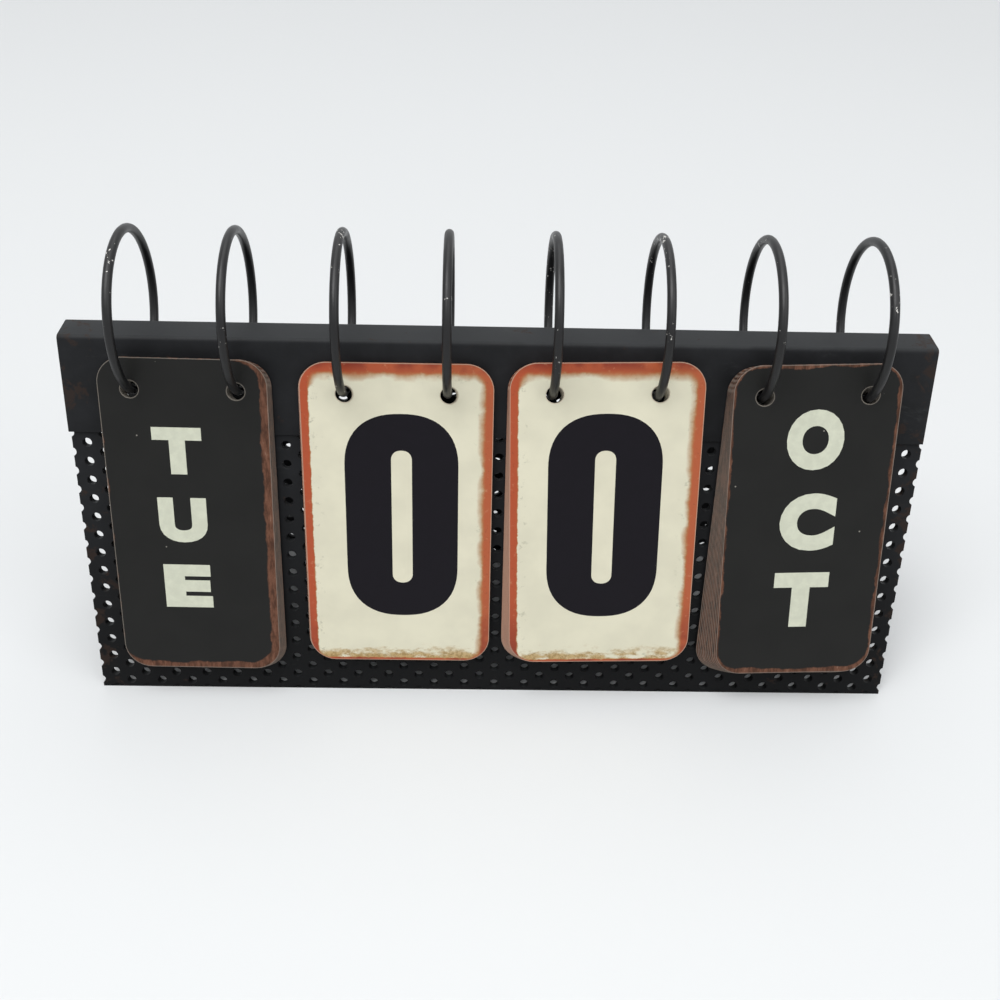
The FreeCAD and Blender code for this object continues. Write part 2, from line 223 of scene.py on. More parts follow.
# Small tools for modelling
def close():
    """Back to object mode, with nothing selected."""
    if bpy.context.mode != "OBJECT":
        bpy.ops.object.mode_set(mode="OBJECT")
    bpy.ops.object.select_all(action="DESELECT")


def pick(*objects):
    """Selects these objects alone, in object mode."""
    close()
    for item in objects:
        item.select_set(True)
    bpy.context.view_layer.objects.active = objects[-1]
    return objects[-1]


def edit(piece, mode="VERT"):
    """Opens one piece for editing with nothing selected."""
    pick(piece)
    bpy.ops.object.mode_set(mode="EDIT")
    bpy.ops.mesh.select_mode(type=mode)
    bpy.ops.mesh.select_all(action="DESELECT")


def everything():
    bpy.ops.mesh.select_all(action="SELECT")


def choose(piece, parts, test):
    """Selects the vertices, edges or faces of the piece being edited that pass a test."""
    mesh = bmesh.from_edit_mesh(piece.data)
    for part in getattr(mesh, parts):
        if test(part):
            part.select_set(True)
    mesh.select_flush_mode()
    bmesh.update_edit_mesh(piece.data)


def extrude(offset):
    """Draws the chosen edges out into faces."""
    bpy.ops.mesh.extrude_edges_move(TRANSFORM_OT_translate={"value": offset})


def level(axis, height):
    """A test for edges that lie level at a height along an axis."""
    return lambda edge: all(abs(v.co[axis] - height) < LEVEL for v in edge.verts)


def name_piece(name):
    piece = bpy.context.object
    piece.name = name
    piece.data.name = name
    return piece


def modify(piece, kind, **settings):
    """Adds a modifier with its settings and applies it."""
    item = piece.modifiers.new(kind.title(), kind)
    for key, value in settings.items():
        setattr(item, key, value)
    pick(piece)
    bpy.ops.object.modifier_apply(modifier=item.name)


def soften(piece, width):
    """Rounds the edges that the shears left."""
    modify(
        piece, "BEVEL", width=width, segments=BEVEL_STEPS, limit_method="ANGLE",
        angle_limit=math.radians(50),
    )


def settle(piece, place=None):
    """Moves a piece by a matrix and keeps the place in its mesh."""
    if place is not None:
        piece.matrix_world = place @ piece.matrix_world
    pick(piece)
    bpy.ops.object.transform_apply(location=True, rotation=True, scale=True)
    return piece


def smooth(piece, degrees=35):
    pick(piece)
    bpy.ops.object.shade_smooth_by_angle(angle=math.radians(degrees))


def dress(piece, material, slot, body, *nodes):
    """Gives a piece its finish and its place in the frame's table."""
    piece.data.materials.clear()
    piece.data.materials.append(material)
    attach(piece, body)
    if nodes:
        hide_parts(*nodes)


# Small tools for materials
MATH, VECTOR, RANGE = "ShaderNodeMath", "ShaderNodeVectorMath", "ShaderNodeMapRange"
MIX, NOISE, CELLS = "ShaderNodeMix", "ShaderNodeTexNoise", "ShaderNodeTexVoronoi"
SPLIT, JOIN = "ShaderNodeSeparateXYZ", "ShaderNodeCombineXYZ"
PLACE, NORMAL = "ShaderNodeTexCoord", "ShaderNodeNewGeometry"
# Settings that many nodes share; a range takes a value, its two limits and the two results
SOFT = {"interpolation_type": "SMOOTHSTEP"}
COATS = {"data_type": "RGBA", "output": 2}
TIMES, SCALED, SUM, LESS, HIGHEST, LOWEST = (
    {"operation": name} for name in ("MULTIPLY", "MULTIPLY_ADD", "ADD", "SUBTRACT", "MAXIMUM", "MINIMUM")
)


def new_material(name):
    material = bpy.data.materials.new(name)
    material.use_nodes = True
    return material, material.node_tree, material.node_tree.nodes["Principled BSDF"]


def add(tree, kind, inputs=(), output=0, **settings):
    """Adds a node with its settings, links or sets its inputs, and gives one of its outputs."""
    item = tree.nodes.new(kind)
    for key, value in settings.items():
        setattr(item, key, value)
    for key, value in inputs.items() if isinstance(inputs, dict) else enumerate(inputs):
        if isinstance(value, bpy.types.NodeSocket):
            tree.links.new(value, item.inputs[key])
        else:
            item.inputs[key].default_value = value
    return item.outputs[output]


def finish(tree, shader, shade, rough, gloss, relief, depth):
    """Gives the shader its colour, its roughness, its specular level and its relief."""
    tree.links.new(shade, shader.inputs["Base Color"])
    tree.links.new(rough, shader.inputs["Roughness"])
    shader.inputs["Specular IOR Level"].default_value = gloss
    bumps = add(tree, "ShaderNodeBump", {"Strength": 0.4, "Distance": depth, "Height": relief})
    tree.links.new(bumps, shader.inputs["Normal"])


def shade_of(shade, factor):
    """A colour made lighter or darker."""
    return tuple(min(1.0, part * factor) for part in shade[:3]) + (1.0,)


# Finishes
def stand_paint():
    """Brushed black paint on sheet steel: dull, with dust and painted light on top, painted shade towards
    the foot, grey scuffs and rust at the ends.
    """
    c, s = colours(), sizes()
    grain_size, scuff_size, rust_size, brush_size = 9 * MM, 7 * MM, 8 * MM, 1.6 * MM
    foot_low, foot_high = 8 * MM, 80 * MM
    rust_start, rust_end = s.stand_width * 0.43, s.stand_width * 0.5
    material, tree, shader = new_material("black_painted_sheet_steel")
    place = add(tree, PLACE, output="Object")
    across, rise = (add(tree, SPLIT, (place,), axis) for axis in "XZ")
    grain = add(tree, NOISE, {"Vector": place, "Scale": 1 / grain_size, "Detail": 4.0, "Roughness": 0.6})
    # scuffs: long low streaks that run along the stand
    along = add(tree, VECTOR, (place, (0.35, 1.0, 1.0)), **TIMES)
    streaks = add(tree, NOISE, {
        "Vector": along, "Scale": 1 / scuff_size, "Detail": 5.0, "Roughness": 0.7, "Distortion": 0.6,
    })
    scuffs = add(tree, RANGE, (streaks, 0.6, 0.74, 0.0, 0.45), **SOFT)
    # dust and painted light: a greyer film on what faces up, lighter where the top faces the lamps
    upward = add(tree, SPLIT, (add(tree, NORMAL, output="Normal"),), "Z")
    upward = add(tree, MATH, (grain, 0.5, upward), **SCALED)
    dust_and_top_light = add(tree, RANGE, (upward, 0.8, 1.25, 0.0, 0.4), **SOFT)
    # painted shade: the paint darkens to deep black towards the foot, where little light reaches
    foot = add(tree, RANGE, (rise, foot_low, foot_high, 0.85, 0.0), **SOFT)
    # rust: small brown patches that gather towards the two ends
    reach = add(tree, MATH, (across,), operation="ABSOLUTE")
    ends = add(tree, RANGE, (reach, rust_start, rust_end, 0.0, 0.12), **SOFT)
    patches = add(tree, NOISE, {
        "Vector": place, "Scale": 1 / rust_size, "Detail": 6.0, "Roughness": 0.68, "Distortion": 0.5,
    })
    worn = add(tree, MATH, (patches, ends), **SUM)
    rust = add(tree, RANGE, (worn, 0.64, 0.7, 0.0, 0.6), **SOFT)
    shade = shade_of(c.stand_paint, 0.85)
    for share, coat in (
        (add(tree, RANGE, (grain, 0.3, 0.75, 0.0, 1.0), **SOFT), shade_of(c.stand_paint, 1.25)),
        (scuffs, c.stand_scuff_and_top_light),
        # painted shade towards the foot
        (foot, shade_of(c.stand_paint, 0.15)),
        # dust and painted light on what faces up
        (dust_and_top_light, c.stand_scuff_and_top_light),
        (rust, c.stand_rust),
    ):
        shade = add(tree, MIX, {0: share, 6: shade, 7: coat}, **COATS)
    rough = add(tree, RANGE, (grain, 0.2, 0.8, 0.45, 0.6), **SOFT)
    rough = add(tree, MATH, (rust, 0.3, rough), **SCALED)
    brush = add(tree, NOISE, {"Vector": place, "Scale": 1 / brush_size})
    finish(tree, shader, shade, rough, gloss=0.13, relief=brush, depth=0.05 * MM)
    return material


def wire_lacquer():
    """Black lacquer on steel wire: a satin shine along the wire, chipped to steel in small spots."""
    c = colours()
    chip_size, group_size, mottle_size, grit_size = 1.5 * MM, 17 * MM, 6 * MM, 1.2 * MM
    material, tree, shader = new_material("chipped_black_lacquered_wire")
    place = add(tree, PLACE, output="Object")
    chips = add(tree, NOISE, {"Vector": place, "Scale": 1 / chip_size, "Detail": 3.0, "Roughness": 0.6})
    groups = add(tree, NOISE, {"Vector": place, "Scale": 1 / group_size, "Detail": 1.0})
    worn = add(tree, MATH, (groups, 0.55, chips), **SCALED)
    spots = add(tree, RANGE, (worn, 1.01, 1.025, 0.0, 1.0), **SOFT)
    mottle = add(tree, NOISE, {"Vector": place, "Scale": 1 / mottle_size})
    shade = c.wire_paint
    for share, coat in ((mottle, shade_of(c.wire_paint, 1.6)), (spots, c.wire_steel)):
        shade = add(tree, MIX, {0: share, 6: shade, 7: coat}, **COATS)
    rough = add(tree, RANGE, (mottle, 0.3, 0.7, 0.32, 0.44), **SOFT)
    grit = add(tree, NOISE, {"Vector": place, "Scale": 1 / grit_size})
    finish(tree, shader, shade, rough, gloss=0.35, relief=grit, depth=0.03 * MM)
    return material


def card_place(tree, width, height):
    """Where a point lies on its card's face, in metres from the middle, and a place for noise."""
    uv = add(tree, "ShaderNodeUVMap", uv_map="card")
    face = add(tree, VECTOR, (uv, (0.5, 0.5, 0)), **LESS)
    face = add(tree, VECTOR, (face, (width, height, 0)), **TIMES)
    seed = add(tree, "ShaderNodeAttribute", output="Fac", attribute_name="seed")
    return face, add(tree, VECTOR, (face, add(tree, JOIN, {2: seed})), **SUM)


def inside(tree, face, left, right, bottom, top, radius):
    """How far a point lies inside a rounded panel, given by its four sides."""
    centre = ((left + right) / 2, (bottom + top) / 2, 0)
    half = ((right - left) / 2 - radius, (top - bottom) / 2 - radius, 0)
    away = add(tree, VECTOR, (face, centre), **LESS)
    away = add(tree, VECTOR, (away,), operation="ABSOLUTE")
    away = add(tree, VECTOR, (away, half), **LESS)
    corner = add(tree, VECTOR, (away, (0, 0, 0)), **HIGHEST)
    corner = add(tree, VECTOR, (corner,), "Value", operation="LENGTH")
    further = add(tree, MATH, [add(tree, SPLIT, (away,), axis) for axis in "XY"], **HIGHEST)
    straight = add(tree, MATH, (further, 0.0), **LOWEST)
    outside = add(tree, MATH, (corner, straight), **SUM)
    return add(tree, MATH, (radius, outside), **LESS)


def cut_edges(tree, face, width, height):
    """The thin pale line beside a card's cut outline and its two holes, a painted highlight for the cut
    edges' glint, and the cut outline itself.
    """
    s = sizes()
    line_inner, line_outer, wall_outer, wall_inner = 0.13 * MM, 0.36 * MM, 0.02 * MM, 0.06 * MM
    rim = inside(tree, face, -width / 2, width / 2, -height / 2, height / 2, s.corner_radius)
    rise = height / 2 - s.punch_setback
    holes = [
        add(tree, VECTOR, (face, (side * s.ring_pitch / 2, rise, 0)), "Value", operation="DISTANCE")
        for side in (-1, 1)
    ]
    hole = add(tree, MATH, holes, **LOWEST)
    hole = add(tree, MATH, (hole, s.punch_radius), **LESS)
    nearest = add(tree, MATH, (rim, hole), **LOWEST)
    # painted highlight: the glint of the cut edges, as a pale line just inside them
    line = add(tree, RANGE, (nearest, line_inner, line_outer, 0.6, 0.0), **SOFT)
    wall = add(tree, RANGE, (rim, wall_outer, wall_inner, 1.0, 0.0), **SOFT)
    return line, wall


def number_enamel():
    """Cream enamel on tin: even and satin, with a chipped brick border that browns inwards, ochre stains
    along the foot, and a pale line along the cut edges that is a painted highlight."""
    c, s = colours(), sizes()
    width, height = s.number_width, s.number_height
    chip_size, wear_size, cloud_size = 1.1 * MM, 2.4 * MM, 15 * MM
    stain_size, spot_size = 3.4 * MM, 3 * MM
    # the border's four widths, and how deep it is chipped
    left, right, bottom, top, chipping = 2.5 * MM, 2.2 * MM, 0.9 * MM, 2.7 * MM, 1.1 * MM
    material, tree, shader = new_material("worn_cream_enamelled_tin")
    face, place = card_place(tree, width, height)
    across, rise = (add(tree, SPLIT, (face,), axis) for axis in "XY")
    chips, wear, cloud, spots = (
        add(tree, NOISE, {"Vector": place, "Scale": 1 / size, "Detail": detail, "Roughness": rough})
        for size, detail, rough in (
            (chip_size, 3.0, 0.7), (wear_size, 4.0, 0.65), (cloud_size, 3.0, 0.55), (spot_size, 3.0, 0.7)
        )
    )
    # the cream panel: how far a point lies inside its chipped outline, which almost meets the foot
    panel = inside(
        tree, face, -width / 2 + left, width / 2 - right, -height / 2 + bottom, height / 2 - top,
        s.corner_radius * 0.45,
    )
    jag = add(tree, MATH, (chips, 0.5, add(tree, MATH, (wear, 0.5), **LESS)), **SCALED)
    jag = add(tree, MATH, (jag, 0.25), **LESS)
    ragged = add(tree, MATH, (jag, chipping, panel), **SCALED)
    # how wide the border's brown fade is: wide along the top and the right side, hardly there elsewhere
    thin, wide_top, wide_right = 0.3 * MM, 3.0 * MM, 2.2 * MM
    start, end = height / 2 - 9 * MM, height / 2 - 5 * MM
    fade_top = add(tree, RANGE, (rise, start, end, thin, wide_top), **SOFT)
    start, end = width / 2 - 7 * MM, width / 2 - 4 * MM
    fade_right = add(tree, RANGE, (across, start, end, thin, wide_right), **SOFT)
    fade = add(tree, MATH, (fade_top, fade_right), **HIGHEST)
    fade = add(tree, MATH, (fade, add(tree, RANGE, (cloud, 0.38, 0.6, 0.7, 1.6), **SOFT)), **TIMES)
    brown = add(tree, RANGE, (ragged, 0.0, fade, 1.0, 0.0), **SOFT)
    # ochre: mottled and broken along the foot
    start, end = -height / 2 + 1.5 * MM, -height / 2 + 8 * MM
    foot = add(tree, RANGE, (rise, start, end, 1.0, 0.0), **SOFT)
    flat = add(tree, VECTOR, (place, (0.55, 1.2, 1.0)), **TIMES)
    mottle = add(tree, NOISE, {"Vector": flat, "Scale": 1 / stain_size, "Detail": 5.0, "Roughness": 0.7})
    mottle = add(tree, MATH, (foot, 0.2, mottle), **SCALED)
    stained = add(tree, RANGE, (mottle, 0.58, 0.76, 0.0, 0.8), **SOFT)
    stained = add(tree, MATH, (stained, foot), **TIMES)
    # grey-green smudges just inside the border
    smudge = add(tree, RANGE, (spots, 0.58, 0.7, 0.0, 1.0), **SOFT)
    start, end = 0.5 * MM, 5 * MM
    near = add(tree, RANGE, (panel, start, end, 0.5, 0.0), **SOFT)
    flecks = add(tree, RANGE, (chips, 0.45, 0.6, 0.0, 0.8))
    shade = shade_of(c.cream, 0.95)
    for share, coat in (
        (add(tree, RANGE, (cloud, 0.3, 0.7, 0.0, 1.0), **SOFT), shade_of(c.cream, 1.04)),
        (add(tree, MATH, (smudge, near), **TIMES), linear("#9C9A80")),
        (stained, c.ochre),
        (add(tree, MATH, (stained, flecks), **TIMES), linear("#8B6B33")),
        (brown, linear("#B07A45")),
    ):
        shade = add(tree, MIX, {0: share, 6: shade, 7: coat}, **COATS)
    # the border: brick red, deeper in places along the top and in the lower corners, paler to the right
    start, end = -height / 2 + 28 * MM, height / 2 - 4 * MM
    deep_foot = add(tree, RANGE, (rise, -height / 2, start, 0.8, 0.0), **SOFT)
    deep_top = add(tree, RANGE, (rise, end, height / 2, 0.0, 0.9), **SOFT)
    deep = add(tree, MATH, (deep_foot, deep_top), **HIGHEST)
    deep = add(tree, MATH, (deep, add(tree, RANGE, (cloud, 0.4, 0.55, 0.0, 1.0), **SOFT)), **TIMES)
    border = c.border
    for share, coat in (
        (add(tree, RANGE, (across, -width / 2, width / 2, 0.0, 0.35), **SOFT), linear("#BC7148")),
        (deep, linear("#84301E")),
        (add(tree, RANGE, (wear, 0.6, 0.72, 0.0, 0.45), **SOFT), linear("#D39A74")),
        (add(tree, RANGE, (chips, 0.6, 0.7, 0.0, 0.35), **SOFT), linear("#6E3324")),
    ):
        border = add(tree, MIX, {0: share, 6: border, 7: coat}, **COATS)
    fade = add(tree, MATH, (fade, 0.4), **TIMES)
    outermost = -0.2 * MM
    cream_share = add(tree, RANGE, (ragged, outermost, fade, 0.0, 1.0), **SOFT)
    shade = add(tree, MIX, {0: cream_share, 6: border, 7: shade}, **COATS)
    line, wall = cut_edges(tree, face, width, height)
    # the pale line is painted highlight along the cut edges
    for share, coat in ((line, linear("#CDBFA9")), (wall, linear("#8A5238"))):
        shade = add(tree, MIX, {0: share, 6: shade, 7: coat}, **COATS)
    rough = add(tree, RANGE, (cloud, 0.3, 0.7, 0.34, 0.46), **SOFT)
    finish(tree, shader, shade, rough, gloss=0.4, relief=ragged, depth=0.04 * MM)
    return material


def plate_lacquer(name, left, right, bottom, top):
    """Black lacquer on tin: dull and even, its borders worn brown to given widths, white specks."""
    c, s = colours(), sizes()
    width, height = s.plate_width, s.plate_height
    wear_size, cloud_size, reach_size = 1.6 * MM, 14 * MM, 8 * MM
    streak_size, speck_pitch = 1.4 * MM, 9 * MM
    chipping, swelling, outermost, innermost = 1.1 * MM, 2.6 * MM, -0.15 * MM, 0.4 * MM
    material, tree, shader = new_material(name)
    face, place = card_place(tree, width, height)
    wear = add(tree, NOISE, {"Vector": place, "Scale": 1 / wear_size, "Detail": 4.0, "Roughness": 0.65})
    cloud = add(tree, NOISE, {"Vector": place, "Scale": 1 / cloud_size, "Detail": 3.0})
    reach = add(tree, NOISE, {"Vector": place, "Scale": 1 / reach_size, "Detail": 2.0})
    panel = inside(
        tree, face, -width / 2 + left, width / 2 - right, -height / 2 + bottom, height / 2 - top,
        s.corner_radius * 0.85,
    )
    # the worn border swells and thins out along the edge
    ragged = add(tree, MATH, (wear, chipping, panel), **SCALED)
    ragged = add(tree, MATH, (reach, swelling, ragged), **SCALED)
    ragged = add(tree, MATH, (ragged, (chipping + swelling) / 2), **LESS)
    long = add(tree, VECTOR, (place, (1.0, 0.25, 1.0)), **TIMES)
    streaks = add(tree, NOISE, {"Vector": long, "Scale": 1 / streak_size, "Detail": 4.0, "Roughness": 0.7})
    brown = shade_of(c.plate_wear, 0.4)
    for share, coat in (
        (add(tree, RANGE, (streaks, 0.35, 0.62, 0.0, 1.0), **SOFT), c.plate_wear),
        (add(tree, RANGE, (streaks, 0.6, 0.74, 0.0, 0.6), **SOFT), linear("#A78A78")),
    ):
        brown = add(tree, MIX, {0: share, 6: brown, 7: coat}, **COATS)
    dots = add(tree, CELLS, {"Vector": place, "Scale": 1 / speck_pitch}, "Distance")
    line, wall = cut_edges(tree, face, width, height)
    edge = add(tree, RANGE, (streaks, 0.42, 0.58, 0.0, 1.0), **SOFT)
    edge = add(tree, MIX, {0: edge, 6: linear("#241C18"), 7: shade_of(c.plate_wear, 0.75)}, **COATS)
    shade = shade_of(c.plate_lacquer, 0.92)
    for share, coat in (
        (add(tree, RANGE, (cloud, 0.3, 0.7, 0.0, 1.0), **SOFT), shade_of(c.plate_lacquer, 1.08)),
        (add(tree, RANGE, (ragged, outermost, innermost, 1.0, 0.0), **SOFT), brown),
        (add(tree, RANGE, (dots, 0.02, 0.035, 0.6, 0.0), **SOFT), linear("#BDB8AE")),
        # the pale line is painted highlight along the cut edges
        (line, linear("#9B948A")),
        (wall, edge),
    ):
        shade = add(tree, MIX, {0: share, 6: shade, 7: coat}, **COATS)
    rough = add(tree, RANGE, (cloud, 0.3, 0.7, 0.44, 0.54), **SOFT)
    finish(tree, shader, shade, rough, gloss=0.16, relief=ragged, depth=0.03 * MM)
    return material


def print_ink(name, ink):
    """Screen-printed ink: flat and even, with faint pinholes and a low sheen."""
    grain_size = 3 * MM
    material, tree, shader = new_material(name)
    place = add(tree, PLACE, output="Object")
    grain = add(tree, NOISE, {"Vector": place, "Scale": 1 / grain_size, "Detail": 4.0, "Roughness": 0.6})
    share = add(tree, RANGE, (grain, 0.35, 0.7, 0.0, 1.0), **SOFT)
    shade = add(tree, MIX, {0: share, 6: shade_of(ink, 0.95), 7: shade_of(ink, 1.05)}, **COATS)
    rough = add(tree, RANGE, (grain, 0.3, 0.7, 0.42, 0.52), **SOFT)
    finish(tree, shader, shade, rough, gloss=0.16, relief=grain, depth=0.01 * MM)
    return material


# Pieces
def flat_sheet(width, height):
    """A rectangle in the XZ plane."""
    close()
    bpy.ops.mesh.primitive_plane_add(size=1, rotation=(math.pi / 2, 0, 0))
    plate = bpy.context.object
    plate.scale = (width, height, 1)
    return settle(plate)


def tile(width, height, radius, steps):
    """A flat rectangle in the XZ plane with a round hole in its middle."""
    plate = flat_sheet(width, height)
    edit(plate, "EDGE")
    everything()
    bpy.ops.mesh.delete(type="ONLY_FACE")
    everything()
    bpy.ops.mesh.subdivide(number_cuts=steps // 4 - 1)
    everything()
    bpy.ops.mesh.primitive_circle_add(vertices=steps, radius=radius, rotation=(math.pi / 2, 0, 0))
    everything()
    bpy.ops.mesh.bridge_edge_loops()
    everything()
    bpy.ops.mesh.normals_make_consistent(inside=False)
    return plate


def repeat(piece, count, offset):
    """Copies a piece in a straight row and joins what touches."""
    modify(
        piece, "ARRAY", count=count, use_relative_offset=False, use_constant_offset=True,
        constant_offset_displace=offset, use_merge_vertices=True, merge_threshold=WELD,
    )


def cut(piece, point, normal, fill=False):
    """Cuts a piece by a plane and drops what lies on the normal's side."""
    edit(piece)
    everything()
    bpy.ops.mesh.bisect(plane_co=point, plane_no=normal, use_fill=fill, clear_outer=True)


class CALENDAR_OT_cap(Operator):
    """Bends the cap over the screens, with two rows of holes for the rings"""

    bl_idname = "calendar.cap"
    bl_label = "Folded cap"

    def execute(self, context):
        s = sizes()
        turn = math.pi / 2 - s.lean
        tangent = s.bend_radius * math.tan(turn / 2)
        # the front skirt, flat: round holes in a row of tiles, and a plain strip above them
        straight = s.skirt_length - tangent - s.plain_strip
        skirt = tile(s.ring_pitch, straight, s.ring_hole_radius, FACE_HOLE_STEPS)
        edit(skirt)
        hole_from_middle = straight / 2 - (s.ring_hole_drop - tangent - s.plain_strip)
        choose(skirt, "verts", lambda v: v.co.length < s.ring_hole_radius * ON_RADIUS)
        bpy.ops.transform.translate(value=(0, 0, hole_from_middle))
        repeat(skirt, RINGS, (s.ring_pitch, 0, 0))
        settle(skirt, move((ring_x(0), 0, -straight / 2)))
        spare = (s.stand_width - RINGS * s.ring_pitch) / 2
        for side in (-1, 1):
            end = side * RINGS * s.ring_pitch / 2
            edit(skirt, "EDGE")
            choose(skirt, "edges", level(0, end))
            extrude((side * spare, 0, 0))
        pick(skirt)
        top = max(v.co.z for v in skirt.data.vertices)
        edit(skirt, "EDGE")
        choose(skirt, "edges", level(2, top))
        extrude((0, 0, s.plain_strip))
        # leant back into place, then carried on round the bend to the middle of the top
        settle(skirt, move((0, 0, -s.plain_strip)))
        y, z = on_skirt(tangent, 0)
        settle(skirt, move((0, y, z)) @ Matrix.Rotation(-s.lean, 4, "X"))
        edit(skirt, "EDGE")
        choose(skirt, "edges", level(2, z))
        bend_y = y + s.bend_radius * math.cos(s.lean)
        bend_z = z - s.bend_radius * math.sin(s.lean)
        bpy.ops.mesh.spin(
            steps=BEND_STEPS, angle=turn, center=(0, bend_y, bend_z), axis=(1, 0, 0),
            use_auto_merge=False,
        )
        reach = max(v.co.z for v in bmesh.from_edit_mesh(skirt.data).verts)
        bpy.ops.mesh.select_all(action="DESELECT")
        choose(skirt, "edges", level(2, reach))
        extrude((0, MIDDLE_Y - bend_y, 0))
        everything()
        bpy.ops.mesh.remove_doubles(threshold=LEVEL)
        # the rear half mirrors the front one
        settle(skirt, move((0, -MIDDLE_Y, 0)))
        modify(skirt, "MIRROR", use_axis=(False, True, False), merge_threshold=LEVEL)
        edit(skirt)
        everything()
        bpy.ops.mesh.normals_make_consistent(inside=False)
        settle(skirt, move((0, MIDDLE_Y, 0)))
        up = next(f for f in skirt.data.polygons if abs(f.normal.z) > 0.99)
        modify(skirt, "SOLIDIFY", thickness=s.sheet, offset=-1 if up.normal.z > 0 else 1)
        soften(skirt, s.cap_edge)
        smooth(skirt)
        name_piece("folded_cap")
        dress(skirt, stand_paint(), "stand_black", "stand", "cap")
        return {"FINISHED"}


class CALENDAR_OT_screens(Operator):
    """Punches the two perforated sheets and stands them on the table"""

    bl_idname = "calendar.screens"
    bl_label = "Perforated screens"

    def execute(self, context):
        s = sizes()
        front = self.sheet(s.burr, 0)
        rear = self.sheet(0, s.rear_row_shift)
        turn = move((0, MIDDLE_Y, 0)) @ Matrix.Rotation(math.pi, 4, "Z")
        settle(rear, turn @ move((0, -MIDDLE_Y, 0)))
        paint = stand_paint()
        for piece, name in ((front, "front_screen"), (rear, "rear_screen")):
            pick(settle(piece, move((s.screen_shift, 0, 0))))
            name_piece("perforated_" + name)
            dress(piece, paint, "stand_black", "stand", name)
        return {"FINISHED"}

    def sheet(self, burr, row_shift):
        """One sheet in the front one's place; burr is how far the punched edges turn inwards."""
        s = sizes()
        foot = s.stand_height / math.cos(s.lean)
        first_row = s.skirt_length + s.first_row_gap - 2 * s.row_pitch + row_shift
        rows = math.ceil((foot - first_row) / s.row_pitch) + 2
        sheet = tile(s.column_pitch, s.row_pitch, s.hole_radius, HOLE_STEPS)
        if burr:
            # the punch drew each hole's edge inwards and a little down, into a short collar
            edit(sheet, "EDGE")
            rim = s.hole_radius * ON_RADIUS
            choose(sheet, "edges", lambda e: all(v.co.length < rim for v in e.verts))
            drawn = (0, burr + s.sheet, -burr * COLLAR_SINK)
            extrude(drawn)
            narrower = (COLLAR_TAPER, 1, COLLAR_TAPER)
            bpy.ops.transform.resize(value=narrower, center_override=(0, 0, drawn[2]))
        repeat(sheet, rows, (0, 0, -s.row_pitch))
        # every second column lies half a row lower
        pick(sheet)
        bpy.ops.object.duplicate()
        lower = settle(bpy.context.object, move((s.column_pitch, 0, -s.row_pitch / 2)))
        pick(lower, sheet)
        bpy.ops.object.join()
        repeat(sheet, EDGE_COLUMN + 1, (2 * s.column_pitch, 0, 0))
        settle(sheet, move((-EDGE_COLUMN * s.column_pitch, 0, -first_row)))
        edit(sheet)
        everything()
        bpy.ops.mesh.remove_doubles(threshold=WELD)
        bpy.ops.mesh.normals_make_consistent(inside=False)
        half = s.stand_width / 2 - s.screen_inset
        for point, normal in (
            ((0, 0, -s.screen_top), (0, 0, 1)),
            ((0, 0, -foot - s.sheet), (0, 0, -1)),
            ((-half, 0, 0), (-1, 0, 0)),
            ((half, 0, 0), (1, 0, 0)),
        ):
            cut(sheet, point, normal)
        pick(sheet)
        face = max(sheet.data.polygons, key=lambda f: abs(f.normal.y))
        modify(sheet, "SOLIDIFY", thickness=s.sheet, offset=-1 if face.normal.y < 0 else 1)
        y, z = on_skirt(0, -s.sheet)
        settle(sheet, move((0, y, z)) @ Matrix.Rotation(-s.lean, 4, "X"))
        cut(sheet, (0, 0, 0), (0, 0, -1), fill=True)
        return sheet


class CALENDAR_OT_rings(Operator):
    """Bends the eight wire rings, each closed by a butt joint"""

    bl_idname = "calendar.rings"
    bl_label = "Wire rings"

    def execute(self, context):
        s = sizes()
        lacquer = wire_lacquer()
        for number in range(1, RINGS + 1):
            close()
            bpy.ops.mesh.primitive_torus_add(
                major_radius=s.ring_radius, minor_radius=s.wire_radius, major_segments=RING_STEPS,
                minor_segments=WIRE_STEPS, rotation=(0, math.pi / 2, 0),
            )
            ring = name_piece("wire_ring_%d" % number)
            settle(ring)
            # the joint lies low on the ring, inside the cap
            edit(ring, "EDGE")
            low = -s.ring_radius + s.wire_radius * ON_RADIUS
            choose(ring, "edges", lambda e: level(1, 0)(e) and all(v.co.z < low for v in e.verts))
            bpy.ops.mesh.bevel(offset=s.ring_joint, offset_type="OFFSET", segments=BEVEL_STEPS)
            bpy.ops.mesh.select_all(action="DESELECT")
            choose(ring, "verts", lambda v: abs(v.co.y) < LEVEL and v.co.z < low)
            pinched = (JOINT_PINCH, 1, JOINT_PINCH)
            bpy.ops.transform.resize(value=pinched, center_override=(0, 0, -s.ring_radius))
            settle(ring, move((ring_x(number - 1), *ring_centre())))
            smooth(ring, degrees=60)
            pack = PACKS[(number - 1) // 2]
            dress(ring, lacquer, "ring_wire", pack["name"] + "_rings", "ring_%d" % number)
        return {"FINISHED"}


